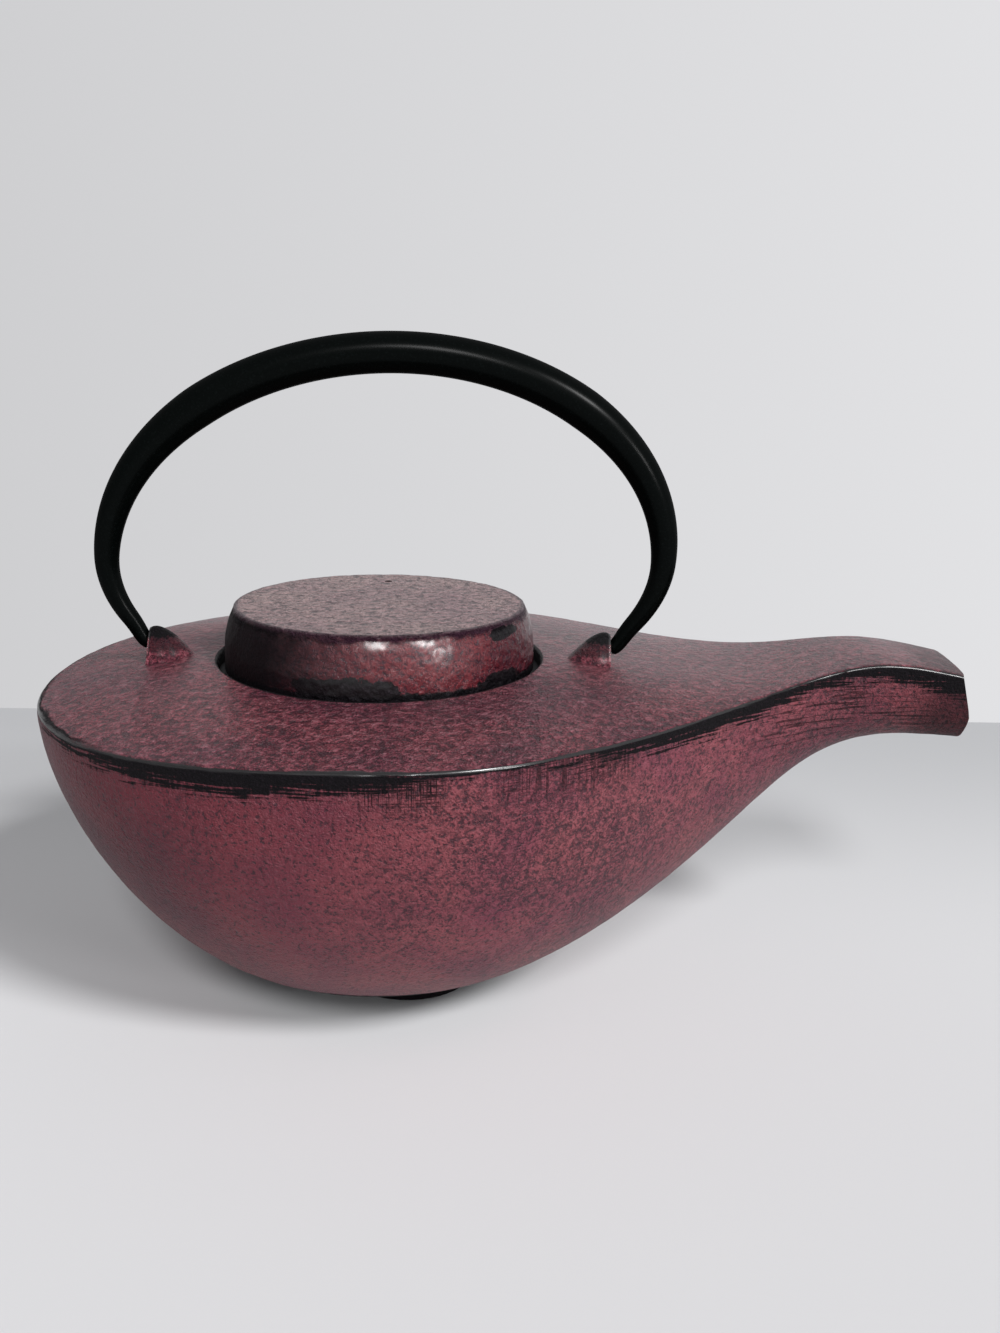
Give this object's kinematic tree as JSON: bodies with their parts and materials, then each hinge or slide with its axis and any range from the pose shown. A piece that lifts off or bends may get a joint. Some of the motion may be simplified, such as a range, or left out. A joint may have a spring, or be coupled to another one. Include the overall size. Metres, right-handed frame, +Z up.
{
  "type": "cast-iron teapot",
  "caption": "Low cast-iron teapot with a teardrop body drawn out into an open spout, a drop-in lid, a swinging bow handle and a basket strainer.",
  "frame": {"origin": "on the table, at the foot ring's plane, straight under the lid's axis", "axes": "+Z up, +X from the lid's axis to the spout, +Y the pot's left-hand side when it is seen from its round end"},
  "size_m": [0.2615, 0.1788, 0.1904],
  "materials": {
    "red_iron": "sand-cast skin with a worn wine-red patina over black",
    "lid_iron": "sand-cast skin with a worn wine-red patina over black",
    "black_iron": "smooth satin black",
    "sheet_steel": "stamped and brushed",
    "gauze": "fine woven wire"
  },
  "bodies": {
    "pot": {"pot_body": "red_iron"},
    "strainer": {"strainer_collar": "sheet_steel", "strainer_gauze": "gauze", "strainer_base": "sheet_steel"},
    "lid": {"lid": "lid_iron"},
    "handle": {"handle": "black_iron"}
  },
  "joints": [
    {"name": "handle_swing", "type": "hinge", "parent": "pot", "child": "handle", "pos_m": [0, 0, 0.1023], "axis": [1, 0, 0], "range_deg": [-90, 90]},
    {"name": "strainer_lift", "type": "slide", "parent": "pot", "child": "strainer", "axis": [0, 0, 1], "range_m": [0, 0.05]},
    {"name": "lid_lift", "type": "slide", "parent": "strainer", "child": "lid", "axis": [0, 0, 1], "range_m": [0, 0.05]}
  ]
}
